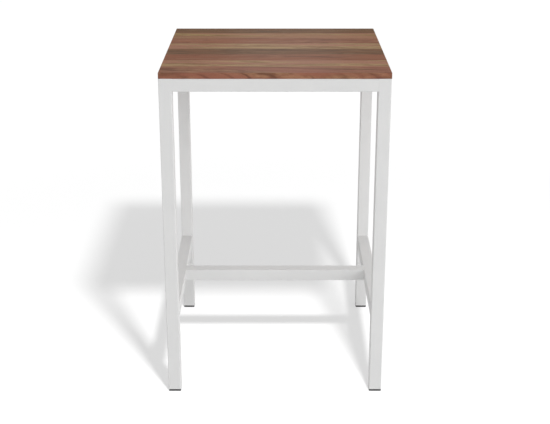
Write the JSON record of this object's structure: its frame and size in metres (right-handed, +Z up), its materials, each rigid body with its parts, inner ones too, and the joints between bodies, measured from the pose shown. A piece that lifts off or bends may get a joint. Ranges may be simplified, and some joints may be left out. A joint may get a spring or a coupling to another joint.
{
  "type": "pub table",
  "caption": "Square pub-height table: flush edge-glued walnut top on a white welded square-tube frame with an H-shaped low stretcher and dark square glides.",
  "frame": {"origin": "on the floor, under the middle of the table", "axes": "+Z up from the floor, -Y towards the front, +X to the right of someone facing the front"},
  "size_m": [0.7, 0.7, 1.07],
  "materials": {
    "walnut": "satin clear lacquer over walnut strips of mixed tone, grain left to right",
    "frame_paint": "white satin powder coat with a fine orange-peel texture",
    "foot_plastic": "moulded dark grey, matt",
    "screw_steel": "bright zinc plate"
  },
  "bodies": {
    "root": {"top_stave_1": "walnut", "top_stave_2": "walnut", "top_stave_3": "walnut", "top_stave_4": "walnut", "top_stave_5": "walnut", "top_stave_6": "walnut", "top_stave_7": "walnut", "top_stave_8": "walnut", "leg_front_left": "frame_paint", "leg_front_right": "frame_paint", "leg_back_left": "frame_paint", "leg_back_right": "frame_paint", "top_rail_front": "frame_paint", "top_rail_back": "frame_paint", "top_rail_left": "frame_paint", "top_rail_right": "frame_paint", "side_stretcher_left": "frame_paint", "side_stretcher_right": "frame_paint", "cross_stretcher": "frame_paint", "corner_plate_front_left": "frame_paint", "corner_plate_front_right": "frame_paint", "corner_plate_back_left": "frame_paint", "corner_plate_back_right": "frame_paint", "rail_tab_front_left": "frame_paint", "rail_tab_front_right": "frame_paint", "rail_tab_back_left": "frame_paint", "rail_tab_back_right": "frame_paint", "top_screws": "screw_steel", "foot_glide_front_left": "foot_plastic", "foot_glide_front_right": "foot_plastic", "foot_glide_back_left": "foot_plastic", "foot_glide_back_right": "foot_plastic"}
  },
  "joints": []
}
